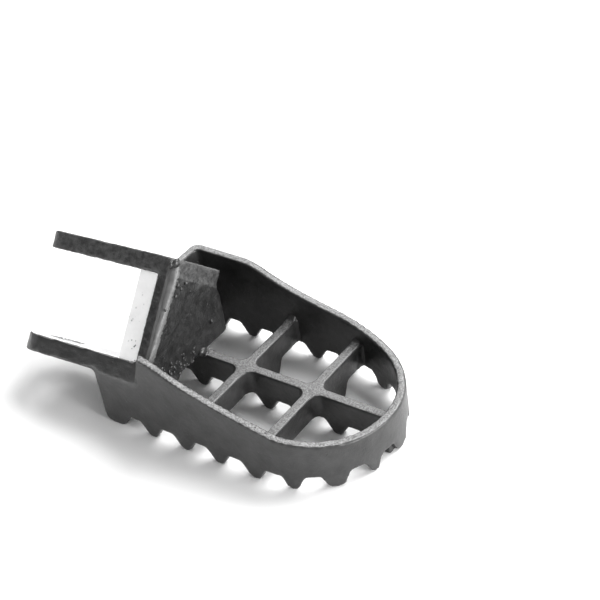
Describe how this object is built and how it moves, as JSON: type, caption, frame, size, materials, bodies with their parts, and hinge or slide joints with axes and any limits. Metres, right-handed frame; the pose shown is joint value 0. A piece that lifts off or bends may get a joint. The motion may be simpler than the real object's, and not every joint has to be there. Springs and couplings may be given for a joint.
{
  "type": "motorcycle foot peg",
  "caption": "Wide off-road motorcycle foot peg with a toothed tongue-shaped ring, ribbed tread and a leaning two-eared clevis, lying teeth down.",
  "frame": {"origin": "centre of the overall box in X and Y, at the height of the tooth tips", "axes": "+X from the clevis to the rounded nose, along the peg. +Y across the tread, towards the side with the higher ear. +Z from the tooth tips to the underside's rim: the peg lies teeth down, so in use it is turned over, with the teeth up and +Z pointing down."},
  "size_m": [0.128, 0.0576, 0.0511],
  "materials": {
    "black_casting": "satin black coating on cast steel",
    "rib_casting": "satin black coating, rubbed lighter along the rib tops",
    "ear_plate": "pitted satin black coating",
    "bare_steel": "machined bare, with dark pits left from the casting",
    "weld": "glossy black over rough weld metal"
  },
  "bodies": {
    "root": {"tread_ring": "black_casting", "centre_rib": "rib_casting", "inner_cross_rib": "rib_casting", "outer_cross_rib": "rib_casting", "lower_ear": "ear_plate", "upper_ear": "ear_plate", "clevis_web": "black_casting", "stop_pad": "bare_steel", "ridge_bead": "weld", "pocket_wall": "black_casting"}
  },
  "joints": []
}
